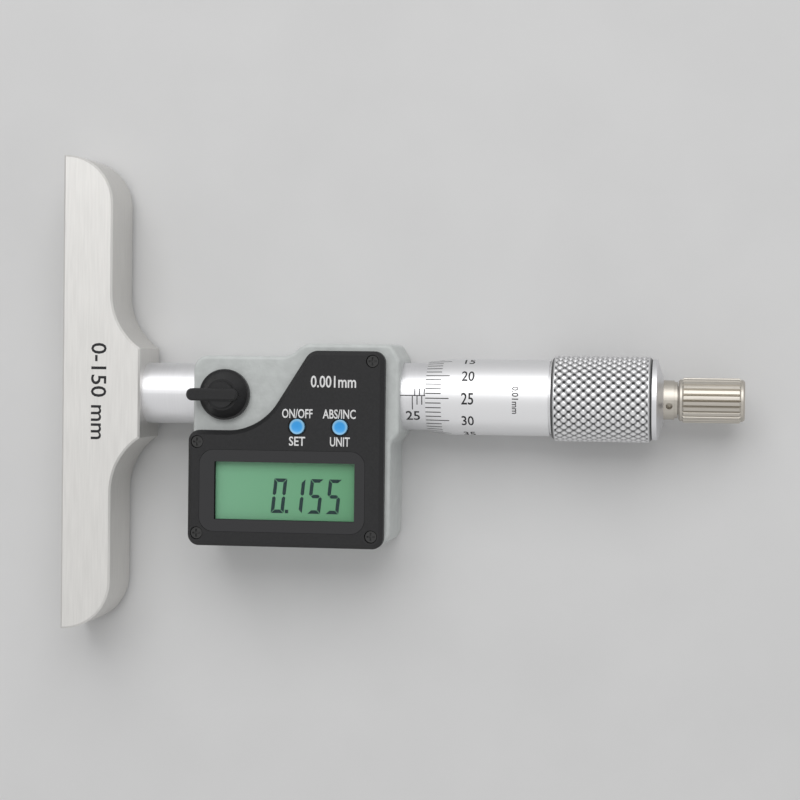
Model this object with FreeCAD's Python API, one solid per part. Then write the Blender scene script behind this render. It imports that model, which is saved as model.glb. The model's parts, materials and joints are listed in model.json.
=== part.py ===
import FreeCAD, Part
import math
import os

from FreeCAD import Vector

# Depth micrometer, millimetres.  The spindle axis is X: the measuring face of the base
# lies at X = 0 and the ratchet points to +X.  The display looks to +Z and +Y is the side
# of the housing away from the display window.  The micrometer lies on the housing's back.

# ---- reading -----------------------------------------------------------------------------
TRAVEL = 25.0                 # measuring range of one rod
READING = 22.245              # reading at rest

# ---- fits and gaps -----------------------------------------------------------------------
RUN_FIT = 0.03                # radial clearance of a shaft that turns or slides
THREAD_FIT = 0.05             # radial clearance that stands for a fine thread's play
LOOSE_FIT = 0.15              # radial clearance round small moulded pieces
FACE_GAP = 0.2                # axial room between faces that pass each other
THREAD_END_GAP = 0.4          # room left at the end of the spindle's travel
OVERCUT = 1.0                 # how far a cut runs past the surface it opens
TOLERANCE = 1e-6

# ---- interchangeable rod, not part of the instrument's own pieces ------------------------
ROD_RADIUS = 1.5
ROD_FIT = 0.05
ROD_THREAD_RADIUS = 1.03
ROD_THREAD_LENGTH = 3.8
ROD_PILOT_LENGTH = 12.0

# ---- base --------------------------------------------------------------------------------
BASE_LENGTH = 101.5
BASE_DEPTH = 16.0
ARM_HEIGHT = 10.8
BOSS_HEIGHT = 17.1
BOSS_WIDTH = 19.1
SHOULDER_RADIUS = 14.0
END_RADIUS = 10.4
BASE_CHAMFER = 0.4
GUIDE_LEDGE = 1.5             # step between the rod guide and the neck's seat
SPINDLE_STOP_GAP = 0.7        # room ahead of the spindle at full reading

# ---- neck tube ---------------------------------------------------------------------------
NECK_RADIUS = 6.5
NECK_EXPOSED = 11.9
NECK_SEAT = 3.8               # length held in the housing
NECK_BORE_GAP = 0.4           # radial room round the spindle

# ---- housing -----------------------------------------------------------------------------
HOUSING_LENGTH = 42.4
HOUSING_BACK = 9.5            # depth behind the axis
HOUSING_FRONT = 8.5           # height of the front rim
HOUSING_BOTTOM = 31.4         # reach below the axis
PLATEAU = 10.9                # reach above the axis over the encoder
BARREL_WALL = 1.7
PLATEAU_LENGTH = 16.9         # from where the plateau starts to the housing's right end
SHOULDER_RUN = 6.6            # length of the S between barrel and plateau
NOSE_LENGTH = 1.75
NOSE_HALF_WIDTH = 7.7
NOSE_SLOPE_UPPER = 1.7
NOSE_SLOPE_LOWER = 1.2
BARREL_CORNER = 3.0
BOTTOM_CORNER_LEFT = 2.0
BOTTOM_CORNER_RIGHT = 3.0
NOSE_CORNER = 1.6
BACK_FILLET = 1.5
FRONT_FILLET = 0.8
HOUSING_WALL = 2.2

# ---- front panel -------------------------------------------------------------------------
PANEL_OVERHANG = 0.5
PANEL_RIM_RIGHT = 1.1         # strip of housing left showing beside the panel
PANEL_RIM_TOP = 1.45
PANEL_DROP = 0.5              # reach of the panel past the housing's lower edge
PANEL_STEP_TOP = 7.55         # upper edge of the panel's low part, below the axis
PANEL_SLANT_FOOT = 27.6       # where the slanted edge leaves the low part, from the right end
PANEL_SLANT_RUN = 10.7
PANEL_FOOT_RADIUS = 12.8
PANEL_CREST_RADIUS = 3.0
PANEL_CORNER = 2.3
PANEL_HEIGHT = 2.5
PANEL_WALL = 1.4
PANEL_CHAMFER = 0.9
PANEL_MARGIN = 2.6            # width of the seating rim
POST_RADIUS = 2.3
POCKET_CORNER = 1.15
SEAL_OFFSET = 0.35
SEAL_WIDTH = 0.6
SEAL_DEPTH = 0.6

# ---- panel screws ------------------------------------------------------------------------
SCREW_INSET_LEFT = 2.0
SCREW_INSET_RIGHT = 2.5
SCREW_INSET_LOW = 2.65
SCREW_INSET_TOP = 2.1
SCREW_INSET_STEP = 2.45
SCREW_HEAD_RADIUS = 1.2
SCREW_HEAD_HEIGHT = 0.9
SCREW_SINK = 0.35
SCREW_RADIUS = 0.7
SCREW_LENGTH = 5.5
CROSS_WIDTH = 0.4
CROSS_LENGTH = 1.7
CROSS_DEPTH = 0.45

# ---- display -----------------------------------------------------------------------------
WINDOW_HEIGHT = 17.2
WINDOW_THICKNESS = 0.8
WINDOW_CORNER = 3.0
WINDOW_INSET = 2.6            # from the panel's left edge
WINDOW_INSET_RIGHT = 3.9
WINDOW_RISE = 3.1             # from the panel's lower edge
VIEW_HEIGHT = 12.15
VIEW_INSET = 5.85
VIEW_INSET_RIGHT = 6.05
VIEW_RISE = 5.65
LCD_BORDER = 1.3
LCD_THICKNESS = 1.5
LCD_GAP = 0.1
STRIP_WIDTH = 1.0

# ---- circuit board and keys --------------------------------------------------------------
BOARD_TOP = 6.4
BOARD_THICKNESS = 0.8
BOARD_GAP = 0.3
TONGUE_LENGTH = 15.0
TONGUE_REACH = 4.7            # upper edge of the board under the keys, below the axis
KEY_Y = -6.5
KEY_INSETS = (19.4, 10.3)     # from the housing's right end
KEY_RADIUS = 1.6
KEY_PROUD = 0.5
KEY_TRAVEL = 0.4
KEY_FLANGE = 0.5
KEY_FLANGE_THICKNESS = 0.5
KEY_DISH = 0.25
KEY_STEM_RADIUS = 0.8
KEY_RING = 0.4                # width of the ring recess round a key
KEY_RING_DEPTH = 0.35
DOME_RADIUS = 1.4

# ---- battery and its cap -----------------------------------------------------------------
CELL_RADIUS = 5.8
CELL_HEIGHT = 5.4
CELL_RIM = 0.5
CELL_Y = -19.7
WELL_WALL = 2.5
CAP_RADIUS = 8.0
CAP_FLANGE = 0.9
CAP_SINK = 0.2
CAP_THREAD_RADIUS = 7.0
CAP_THREAD_LENGTH = 2.5
CAP_SLOT_WIDTH = 1.4
CAP_SLOT_LENGTH = 11.0
CAP_SLOT_DEPTH = 0.5
RING_SECTION = 0.33
RING_SIDES = 8
CONTACT_THICKNESS = 0.25
CONTACT_WIDTH = 2.4

# ---- lock --------------------------------------------------------------------------------
LOCK_X = 7.0                  # from the housing's left end
LOCK_LEAD = 4.2               # spindle ahead of the lock at reading zero
LOCK_RADIUS = 5.36
LOCK_RIM = 1.2
LOCK_BORE_DEPTH = 3.0
LOCK_HEIGHT = 4.2
LOCK_CROWN_RADIUS = 3.3
LOCK_BOSS_RADIUS = 2.7
LOCK_BOSS_HEIGHT = 0.8
LOCK_WING_REACH = 7.4
LOCK_WING_BACK = 3.6
LOCK_WING_WIDTH = 2.6
LOCK_WING_UNDER = 1.6
LOCK_WING_PROUD = 0.6
LOCK_WING_CORNER = 1.25
LOCK_EDGE = 0.4
LOCK_SCREW_RADIUS = 2.0
LOCK_SHOE_RADIUS = 1.75
LOCK_SHOE_TOP = 5.4

# ---- spindle guide and encoder -----------------------------------------------------------
SPINDLE_RADIUS = 3.25
GUIDE_RADIUS = 5.0
GUIDE_SHOULDER = 1.1          # metal left between the guide's seal and the chamber
GASKET_LENGTH = 1.8
CHAMBER_RADIUS = 8.4
CHAMBER_INSET = 5.4           # from the chamber to the housing's right end
CHAMBER_LENGTH = 10.3
DISC_RADIUS = 8.0
DISC_THICKNESS = 1.0
ROTOR_BUSH_RADIUS = 4.6
KEY_PIN_RADIUS = 0.6
KEY_PIN_OFFSET = 3.8          # from the chamber's start
KEYWAY_DEPTH = 0.65
TAB_WIDTH = 4.0
TAB_REACH = 11.6
TAB_ROOT = 7.0
FLEX_THICKNESS = 0.3

# ---- sleeves and nut ---------------------------------------------------------------------
SLEEVE_RADIUS = 7.1
SLEEVE_WALL = 1.0
SLEEVE_SEAT = 2.5             # length of the sleeve inside the nose
SLEEVE_OVERLAP = 5.3          # sleeve left under the thimble at reading zero
SCALE_MARGIN = 2.55           # from the nose to the sleeve's line for full reading
SPANNER_HOLE_RADIUS = 0.7
SPANNER_HOLE_DEPTH = 1.6
NUT_LENGTH = 12.4
NUT_TAIL = 9.4                # reduced rear end that takes the adjusting nut
NUT_TAIL_RADIUS = 5.25
NUT_SLOT_WIDTH = 0.6
NUT_SLOT_LENGTH = 16.0
NUT_SLOTS = 3
THREAD_RADIUS = 4.0
THREAD_RELIEF = 0.3
ADJUST_RADIUS = 6.8
ADJUST_LENGTH = 4.0
ADJUST_NOTCH = 1.2

# ---- thimble -----------------------------------------------------------------------------
THIMBLE_LENGTH = 47.05
THIMBLE_RADIUS = 8.0
THIMBLE_FIT = 0.08
THIMBLE_LIP = 0.2
THIMBLE_TAPER = 5.2
GRIP_START = 26.2
GRIP_RADIUS = 9.0
GRIP_CHAMFER = 0.7
GROOVE_WIDTH = 0.5
GROOVE_DEPTH = 0.5
WEB_THICKNESS = 4.9
RECESS_DEPTH = 1.0
CAP_END_LENGTH = 2.3
CAP_END_RADIUS = 8.5
CAP_END_BAND = 1.0
CAP_END_SMALL = 4.5
CONE_DROP = 0.6               # fall of the spindle's cone over the web
STUD_RADIUS = 3.0

# ---- ratchet -----------------------------------------------------------------------------
STEM_STUD_RADIUS = 1.7
STEM_STUD_LENGTH = 7.0
COLLAR_RADIUS = 4.1
COLLAR_LENGTH = 2.2
COLLAR_STEP_RADIUS = 3.8
COLLAR_HOLE_OFFSET = 1.2
COLLAR_HOLE_TURN = 17.5       # degrees from +Z towards -Y
KNOB_GAP = 0.85
KNOB_LENGTH = 13.65
KNOB_RADIUS = 4.7
KNOB_END_RADIUS = 4.35
KNOB_END_LENGTH = 0.8
KNOB_END_EDGE = 0.35
KNOB_BORE_RADIUS = 3.15
KNOB_SOCKET = 7.0
KNOB_WEB = 1.6
FLUTE_COUNT = 24
FLUTE_WIDTH = 0.55
FLUTE_DEPTH = 0.45
KNOB_EDGE = 0.3
STEM_SHAFT_RADIUS = 1.3
CLICK_TEETH = 12
CLICK_TOOTH = 0.4
CLICK_PLAY = 0.5              # degrees of room on each flank
CLICK_DISC = 0.9
CLICK_RING = 1.3
SPRING_WIRE = 0.22
SPRING_RADIUS = 2.2
SPRING_TURNS = 4
SPRING_STEPS = 12             # straight runs in one turn
END_SCREW_HEAD = 2.3
END_SCREW_HEIGHT = 1.3
END_SCREW_RADIUS = 0.8
END_SCREW_LENGTH = 4.0
END_SLOT_WIDTH = 0.5
END_SLOT_DEPTH = 0.5

# ---- places worked out from the sizes above ----------------------------------------------
X_HOUSING = BOSS_HEIGHT + NECK_EXPOSED
X_WALL = X_HOUSING + HOUSING_LENGTH
X_NOSE = X_WALL + NOSE_LENGTH
X_LOCK = X_HOUSING + LOCK_X
X_SPINDLE = X_LOCK - LOCK_LEAD - READING
X_GUIDE_END = X_SPINDLE - (TRAVEL - READING) - SPINDLE_STOP_GAP
X_NECK = X_GUIDE_END + GUIDE_LEDGE
X_NECK_END = X_HOUSING + NECK_SEAT
X_CHAMBER_END = X_WALL - CHAMBER_INSET
X_CHAMBER = X_CHAMBER_END - CHAMBER_LENGTH
X_SEAL_END = X_CHAMBER - GUIDE_SHOULDER
X_BUSH_END = X_SEAL_END - GASKET_LENGTH
X_STATOR = X_CHAMBER_END - DISC_THICKNESS
X_ROTOR = X_STATOR - FACE_GAP - DISC_THICKNESS
X_KEY_PIN = X_CHAMBER + KEY_PIN_OFFSET
X_THIMBLE = X_NOSE + SCALE_MARGIN + TRAVEL - READING
X_SLEEVE_END = X_NOSE + SCALE_MARGIN + TRAVEL + SLEEVE_OVERLAP
X_THIMBLE_END = X_THIMBLE + THIMBLE_LENGTH
X_RECESS = X_THIMBLE_END - RECESS_DEPTH
X_WEB = X_RECESS - WEB_THICKNESS
X_NUT_END = X_WEB - (TRAVEL - READING) - THREAD_END_GAP
X_NUT = X_NUT_END - NUT_LENGTH
X_CAP_END = X_THIMBLE_END + CAP_END_LENGTH
X_COLLAR_END = X_CAP_END + COLLAR_LENGTH
X_KNOB = X_COLLAR_END + KNOB_GAP
X_KNOB_END = X_KNOB + KNOB_LENGTH

BARREL = NECK_RADIUS + BARREL_WALL
NECK_BORE = SPINDLE_RADIUS + NECK_BORE_GAP
GUIDE_BORE = SPINDLE_RADIUS + RUN_FIT
THREAD_BORE = THREAD_RADIUS + THREAD_FIT
CLEAR_BORE = THREAD_RADIUS + THREAD_RELIEF
NUT_RADIUS = SLEEVE_RADIUS - SLEEVE_WALL
THIMBLE_BORE = SLEEVE_RADIUS + THIMBLE_FIT
CONE_RADIUS = THREAD_RADIUS - CONE_DROP
Z_PANEL = HOUSING_FRONT + PANEL_HEIGHT
Z_PANEL_INNER = Z_PANEL - PANEL_WALL
Z_BOARD = BOARD_TOP - BOARD_THICKNESS
Z_POCKET = Z_BOARD - BOARD_GAP
Z_FLOOR = HOUSING_WALL - HOUSING_BACK
READING_ROOM = READING + 2 * KEY_PIN_RADIUS   # spindle length that passes on the way to zero
PANEL_LEFT = X_HOUSING - PANEL_OVERHANG
PANEL_RIGHT = X_WALL - PANEL_RIM_RIGHT
PANEL_TOP = PLATEAU - PANEL_RIM_TOP
PANEL_LOW = -HOUSING_BOTTOM - PANEL_DROP
BOARD_UPPER = -BARREL - HOUSING_WALL
CELL_CENTRE = Vector(X_HOUSING + HOUSING_LENGTH / 2, CELL_Y, 0)

X_AXIS = Vector(1, 0, 0)
Z_AXIS = Vector(0, 0, 1)


# ---- helpers -----------------------------------------------------------------------------
def turned(profile):
    """Solid turned about the X axis from (x, radius) points."""
    points = [Vector(x, 0, radius) for x, radius in profile]
    return flat_face(points).revolve(Vector(0, 0, 0), X_AXIS, 360)


def ring_x(start, end, outer, inner=0.0):
    """Plain sleeve, disc or rod along X."""
    return turned([(start, inner), (end, inner), (end, outer), (start, outer)])


def post_z(x, y, low, high, radius):
    return Part.makeCylinder(radius, high - low, Vector(x, y, low), Z_AXIS)


def block(x, y, z):
    """Box from (low, high) pairs."""
    corner = Vector(x[0], y[0], z[0])
    return Part.makeBox(x[1] - x[0], y[1] - y[0], z[1] - z[0], corner)


def rounded_face(corners):
    """Flat face at Z = 0 from (x, y, corner radius) points."""
    edges = []
    ends = []
    count = len(corners)
    for index, (x, y, radius) in enumerate(corners):
        here = Vector(x, y, 0)
        before = (Vector(*corners[index - 1][:2], 0) - here).normalize()
        after = (Vector(*corners[(index + 1) % count][:2], 0) - here).normalize()
        half = before.getAngle(after) / 2
        inward = (before + after).normalize()
        start = here + before * (radius / math.tan(half))
        end = here + after * (radius / math.tan(half))
        middle = here + inward * (radius / math.sin(half) - radius)
        if radius > 0:
            edges.append(Part.Arc(start, middle, end).toShape())
        ends.append((start, end))
    for index in range(count):
        start = ends[index][1]
        end = ends[(index + 1) % count][0]
        edges.append(Part.LineSegment(start, end).toShape())
    return Part.Face(Part.Wire(Part.__sortEdges__(edges)))


def flat_face(points):
    return Part.Face(Part.makePolygon(points + points[:1]))


def slab(face, low, high):
    raised = face.copy()
    raised.translate(Vector(0, 0, low))
    return raised.extrude(Vector(0, 0, high - low))


def rectangle(left, right, low, high, radius=0.0):
    return rounded_face([
        (left, low, radius),
        (right, low, radius),
        (right, high, radius),
        (left, high, radius),
    ])


def edges_at(shape, height):
    """Edges that lie wholly in the plane Z = height."""
    found = []
    for edge in shape.Edges:
        box = edge.BoundBox
        if abs(box.ZMin - height) < TOLERANCE and abs(box.ZMax - height) < TOLERANCE:
            found.append(edge)
    return found


def spun(shape, degrees):
    turned_shape = shape.copy()
    turned_shape.rotate(Vector(0, 0, 0), X_AXIS, degrees)
    return turned_shape


# ---- base and neck -----------------------------------------------------------------------
def base():
    """Flat-footed bar with a boss; its inner shoulders are hollow curves."""
    half = BASE_LENGTH / 2
    rise = BOSS_HEIGHT - ARM_HEIGHT
    reach = BOSS_WIDTH / 2 + math.sqrt(2 * SHOULDER_RADIUS * rise - rise ** 2)
    arms = rounded_face([
        (0, -half, 0),
        (ARM_HEIGHT, -half, END_RADIUS),
        (ARM_HEIGHT, half, END_RADIUS),
        (0, half, 0),
    ])
    low = -BASE_DEPTH / 2
    bar = slab(arms, low, -low)
    bar = bar.fuse(slab(rectangle(0, BOSS_HEIGHT, -reach, reach), low, -low))
    for side in (-1, 1):
        centre = Vector(ARM_HEIGHT + SHOULDER_RADIUS, side * reach, low)
        bar = bar.cut(Part.makeCylinder(SHOULDER_RADIUS, BASE_DEPTH, centre, Z_AXIS))
    bar = bar.removeSplitter()
    bar = bar.makeChamfer(BASE_CHAMFER, edges_at(bar, low) + edges_at(bar, -low))
    bar = bar.cut(ring_x(-OVERCUT, X_NECK, ROD_RADIUS + ROD_FIT))
    bar = bar.cut(ring_x(X_GUIDE_END, BOSS_HEIGHT, NECK_BORE))
    return bar.cut(ring_x(X_NECK, BOSS_HEIGHT + OVERCUT, NECK_RADIUS))


def neck_tube():
    return ring_x(X_NECK, X_NECK_END, NECK_RADIUS, NECK_BORE)


# ---- housing -----------------------------------------------------------------------------
def housing_face():
    nose_upper = X_NOSE - (PLATEAU - NOSE_HALF_WIDTH) / NOSE_SLOPE_UPPER
    nose_lower = NOSE_HALF_WIDTH + NOSE_LENGTH * NOSE_SLOPE_LOWER
    climb = PLATEAU - BARREL
    bend = (SHOULDER_RUN ** 2 + climb ** 2) / (4 * climb)
    foot = X_WALL - PLATEAU_LENGTH - SHOULDER_RUN
    half_turn = math.atan2(climb, SHOULDER_RUN)
    tangent = bend * math.tan(half_turn)
    return rounded_face([
        (X_HOUSING, -HOUSING_BOTTOM, BOTTOM_CORNER_LEFT),
        (X_WALL, -HOUSING_BOTTOM, BOTTOM_CORNER_RIGHT),
        (X_WALL, -nose_lower, NOSE_CORNER),
        (X_NOSE, -NOSE_HALF_WIDTH, NOSE_CORNER),
        (X_NOSE, NOSE_HALF_WIDTH, NOSE_CORNER),
        (nose_upper, PLATEAU, NOSE_CORNER),
        (foot + SHOULDER_RUN - tangent, PLATEAU, bend),
        (foot + tangent, BARREL, bend),
        (X_HOUSING, BARREL, BARREL_CORNER),
    ])


def panel_face(margin=0.0):
    """Outline of the front panel, or one that lies margin inside it."""
    slope = math.atan2(PANEL_TOP + PANEL_STEP_TOP, PANEL_SLANT_RUN)
    shift = margin * math.tan(slope / 2)
    foot = X_WALL - PANEL_SLANT_FOOT + shift
    crest = foot + PANEL_SLANT_RUN
    corner = max(PANEL_CORNER - margin, POCKET_CORNER)
    return rounded_face([
        (PANEL_LEFT + margin, PANEL_LOW + margin, corner),
        (PANEL_RIGHT - margin, PANEL_LOW + margin, corner),
        (PANEL_RIGHT - margin, PANEL_TOP - margin, corner),
        (crest, PANEL_TOP - margin, max(PANEL_CREST_RADIUS - margin, corner)),
        (foot, -PANEL_STEP_TOP - margin, PANEL_FOOT_RADIUS + margin),
        (PANEL_LEFT + margin, -PANEL_STEP_TOP - margin, corner),
    ])


def screw_places():
    left = PANEL_LEFT + SCREW_INSET_LEFT
    right = PANEL_RIGHT - SCREW_INSET_RIGHT
    low = PANEL_LOW + SCREW_INSET_LOW
    return [
        (left, low),
        (right, low),
        (right, PANEL_TOP - SCREW_INSET_TOP),
        (left, -PANEL_STEP_TOP - SCREW_INSET_STEP),
    ]


def cavity_prism(low, high, growth=0.0):
    """Space inside the seating rim, clear of the screw posts."""
    prism = slab(panel_face(PANEL_MARGIN - growth), low, high)
    for x, y in screw_places():
        prism = prism.cut(post_z(x, y, low, high, POST_RADIUS - growth))
    return prism


def seal_ring():
    outer = cavity_prism(HOUSING_FRONT - SEAL_DEPTH, HOUSING_FRONT, SEAL_OFFSET + SEAL_WIDTH)
    return outer.cut(cavity_prism(HOUSING_FRONT - SEAL_DEPTH, HOUSING_FRONT, SEAL_OFFSET))


def battery_bores():
    """Stepped hole from the housing's back up into the cell's well."""
    x, y = CELL_CENTRE.x, CELL_CENTRE.y
    seat = -HOUSING_BACK + CAP_SINK + CAP_FLANGE + THREAD_FIT
    shelf = seat + CAP_THREAD_LENGTH + THREAD_FIT
    bores = post_z(x, y, -HOUSING_BACK - OVERCUT, seat, CAP_RADIUS + THREAD_FIT)
    bores = bores.fuse(post_z(x, y, seat, shelf, CAP_THREAD_RADIUS + THREAD_FIT))
    return bores.fuse(post_z(x, y, shelf, Z_POCKET, CELL_RADIUS + LOOSE_FIT))


def housing():
    """Die-cast body: barrel for the spindle, encoder chamber and display pocket."""
    body = slab(housing_face(), -HOUSING_BACK, HOUSING_FRONT)
    body = body.makeFillet(BACK_FILLET, edges_at(body, -HOUSING_BACK))
    body = body.makeFillet(FRONT_FILLET, edges_at(body, HOUSING_FRONT))
    body = body.cut(cavity_prism(Z_POCKET, HOUSING_FRONT))
    lower = rectangle(
        PANEL_LEFT + PANEL_MARGIN,
        PANEL_RIGHT - PANEL_MARGIN,
        PANEL_LOW + PANEL_MARGIN,
        BOARD_UPPER,
        POCKET_CORNER,
    )
    pocket = slab(lower, Z_FLOOR, HOUSING_FRONT)
    for x, y in screw_places():
        pocket = pocket.cut(post_z(x, y, Z_FLOOR, HOUSING_FRONT, POST_RADIUS))
    well_top = -HOUSING_BACK + CAP_SINK + CAP_FLANGE + CAP_THREAD_LENGTH + CELL_HEIGHT
    well = post_z(CELL_CENTRE.x, CELL_CENTRE.y, Z_FLOOR, well_top, CELL_RADIUS + WELL_WALL)
    body = body.cut(pocket.cut(well))
    body = body.cut(battery_bores())
    body = body.cut(seal_ring())
    body = body.cut(ring_x(X_HOUSING - OVERCUT, X_NECK_END, NECK_RADIUS))
    body = body.cut(ring_x(X_NECK_END, X_SEAL_END, GUIDE_RADIUS))
    body = body.cut(ring_x(X_NECK_END, X_NOSE, NECK_BORE))
    body = body.cut(ring_x(X_CHAMBER, X_CHAMBER_END, CHAMBER_RADIUS))
    body = body.cut(ring_x(X_CHAMBER_END + DISC_THICKNESS / 2, X_NOSE, NUT_RADIUS))
    body = body.cut(ring_x(X_NOSE - SLEEVE_SEAT, X_NOSE + OVERCUT, SLEEVE_RADIUS))
    body = body.cut(tab_room())
    body = body.cut(post_z(X_LOCK, 0, 0, LOCK_SHOE_TOP, LOCK_SHOE_RADIUS + RUN_FIT))
    bore = LOCK_SCREW_RADIUS + THREAD_FIT
    body = body.cut(post_z(X_LOCK, 0, LOCK_SHOE_TOP, HOUSING_FRONT + OVERCUT, bore))
    for x, y in screw_places():
        low = Z_PANEL - SCREW_SINK - SCREW_HEAD_HEIGHT - SCREW_LENGTH
        body = body.cut(post_z(x, y, low, HOUSING_FRONT + OVERCUT, SCREW_RADIUS))
    return body


def tab_room():
    """Way for the encoder's tab from its chamber into the display pocket."""
    half = TAB_WIDTH / 2 + LOOSE_FIT
    return block(
        (X_STATOR - LOOSE_FIT, X_CHAMBER_END),
        (-TAB_REACH - LOOSE_FIT, 0),
        (-half, Z_POCKET),
    )


# ---- front panel and display -------------------------------------------------------------
def window_face(gap=0.0):
    left = PANEL_LEFT + WINDOW_INSET - gap
    low = PANEL_LOW + WINDOW_RISE - gap
    right = PANEL_RIGHT - WINDOW_INSET_RIGHT + gap
    high = low + WINDOW_HEIGHT + 2 * gap
    return rectangle(left, right, low, high, WINDOW_CORNER)


def view_box():
    left = PANEL_LEFT + VIEW_INSET
    low = PANEL_LOW + VIEW_RISE
    return left, PANEL_RIGHT - VIEW_INSET_RIGHT, low, low + VIEW_HEIGHT


def front_panel():
    """Moulded cover with a stepped window opening, key holes and sunk screw seats."""
    panel = slab(panel_face(), HOUSING_FRONT, Z_PANEL)
    panel = panel.makeChamfer(PANEL_CHAMFER, edges_at(panel, Z_PANEL))
    panel = panel.cut(cavity_prism(HOUSING_FRONT, Z_PANEL_INNER))
    panel = panel.cut(slab(window_face(THREAD_FIT), Z_PANEL - WINDOW_THICKNESS, Z_PANEL))
    panel = panel.cut(slab(rectangle(*view_box()), HOUSING_FRONT, Z_PANEL))
    for inset in KEY_INSETS:
        x = X_WALL - inset
        panel = panel.cut(post_z(x, KEY_Y, HOUSING_FRONT, Z_PANEL, KEY_RADIUS + LOOSE_FIT))
        ring = post_z(x, KEY_Y, Z_PANEL - KEY_RING_DEPTH, Z_PANEL, KEY_RADIUS + KEY_RING)
        panel = panel.cut(ring)
    for x, y in screw_places():
        seat = Z_PANEL - SCREW_SINK - SCREW_HEAD_HEIGHT
        panel = panel.cut(post_z(x, y, HOUSING_FRONT, seat, SCREW_RADIUS + LOOSE_FIT))
        panel = panel.cut(post_z(x, y, seat, Z_PANEL, SCREW_HEAD_RADIUS + LOOSE_FIT))
    return panel


def panel_screws():
    """Cross-recessed screws, one solid in each corner of the panel."""
    screws = []
    top = Z_PANEL - SCREW_SINK
    seat = top - SCREW_HEAD_HEIGHT
    for x, y in screw_places():
        screw = post_z(x, y, seat, top, SCREW_HEAD_RADIUS)
        screw = screw.fuse(post_z(x, y, seat - SCREW_LENGTH, seat, SCREW_RADIUS))
        reach = CROSS_LENGTH / 2
        half = CROSS_WIDTH / 2
        depth = (top - CROSS_DEPTH, top)
        screw = screw.cut(block((x - reach, x + reach), (y - half, y + half), depth))
        screw = screw.cut(block((x - half, x + half), (y - reach, y + reach), depth))
        screws.append(screw)
    return Part.Compound(screws)


def display_window():
    return slab(window_face(), Z_PANEL - WINDOW_THICKNESS, Z_PANEL)


def lcd_panel():
    left, right, low, high = view_box()
    top = Z_PANEL_INNER - LCD_GAP
    face = rectangle(left - LCD_BORDER, right + LCD_BORDER, low - LCD_BORDER, high + LCD_BORDER)
    return slab(face, top - LCD_THICKNESS, top)


def contact_strips():
    """Rubber strips that join the display's glass to the circuit board."""
    left, right, low, high = view_box()
    top = Z_PANEL_INNER - LCD_GAP - LCD_THICKNESS
    strips = []
    for y in (low - LCD_BORDER, high + LCD_BORDER - STRIP_WIDTH):
        strips.append(block((left, right), (y, y + STRIP_WIDTH), (BOARD_TOP, top)))
    return Part.Compound(strips)


def circuit_board():
    """Board under the display with a tongue that carries the two key domes."""
    left = PANEL_LEFT + PANEL_MARGIN + LOOSE_FIT
    right = PANEL_RIGHT - PANEL_MARGIN - LOOSE_FIT
    low = PANEL_LOW + PANEL_MARGIN + LOOSE_FIT
    board = slab(rectangle(left, right, low, BOARD_UPPER, PANEL_CORNER), Z_BOARD, BOARD_TOP)
    x_end = X_ROTOR - FACE_GAP
    tongue = rectangle(x_end - TONGUE_LENGTH, x_end, BOARD_UPPER - OVERCUT, -TONGUE_REACH)
    board = board.fuse(slab(tongue, Z_BOARD, BOARD_TOP)).removeSplitter()
    for x, y in screw_places():
        board = board.cut(post_z(x, y, Z_BOARD, BOARD_TOP, POST_RADIUS + LOOSE_FIT))
    return board


def key_domes():
    top = Z_PANEL_INNER - THREAD_FIT - KEY_FLANGE_THICKNESS - 2 * KEY_TRAVEL
    domes = []
    for inset in KEY_INSETS:
        x = X_WALL - inset
        dome = post_z(x, KEY_Y, BOARD_TOP, top, DOME_RADIUS)
        domes.append(dome.makeChamfer(KEY_DISH, edges_at(dome, top)))
    return Part.Compound(domes)


def panel_key(inset):
    """Push key: dished cap, retaining flange and a short stem over its dome."""
    x = X_WALL - inset
    top = Z_PANEL + KEY_PROUD
    flange_top = Z_PANEL_INNER - THREAD_FIT
    flange_low = flange_top - KEY_FLANGE_THICKNESS
    dome_top = flange_low - 2 * KEY_TRAVEL
    cap = post_z(x, KEY_Y, flange_top, top, KEY_RADIUS)
    cap = cap.makeFillet(KEY_DISH, edges_at(cap, top))
    sphere = (KEY_RADIUS ** 2 / KEY_DISH + KEY_DISH) / 2
    cap = cap.cut(Part.makeSphere(sphere, Vector(x, KEY_Y, top + sphere - KEY_DISH)))
    flange = post_z(x, KEY_Y, flange_low, flange_top, KEY_RADIUS + KEY_FLANGE)
    stem_low = dome_top + KEY_TRAVEL + THREAD_FIT
    stem = post_z(x, KEY_Y, stem_low, flange_low, KEY_STEM_RADIUS)
    return cap.fuse(flange).fuse(stem)


# ---- battery -----------------------------------------------------------------------------
def cap_levels():
    outer = -HOUSING_BACK + CAP_SINK
    seat = outer + CAP_FLANGE
    return outer, seat, seat + CAP_THREAD_LENGTH


def battery_cap():
    """Coin-slotted cap with a threaded skirt and a groove for its sealing ring."""
    x, y = CELL_CENTRE.x, CELL_CENTRE.y
    outer, seat, top = cap_levels()
    cap = post_z(x, y, outer, seat, CAP_RADIUS).fuse(post_z(x, y, seat, top, CAP_THREAD_RADIUS))
    low, high = ring_groove()
    groove = post_z(x, y, low, high, CAP_THREAD_RADIUS + OVERCUT)
    groove = groove.cut(post_z(x, y, low, high, CAP_THREAD_RADIUS - 2 * RING_SECTION))
    cap = cap.cut(groove)
    half = CAP_SLOT_LENGTH / 2
    width = CAP_SLOT_WIDTH / 2
    depth = (outer - OVERCUT, outer + CAP_SLOT_DEPTH)
    return cap.cut(block((x - half, x + half), (y - width, y + width), depth))


def ring_groove():
    seat = cap_levels()[1]
    low = seat + RING_SECTION
    return low, low + 2 * RING_SECTION + THREAD_FIT


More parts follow.
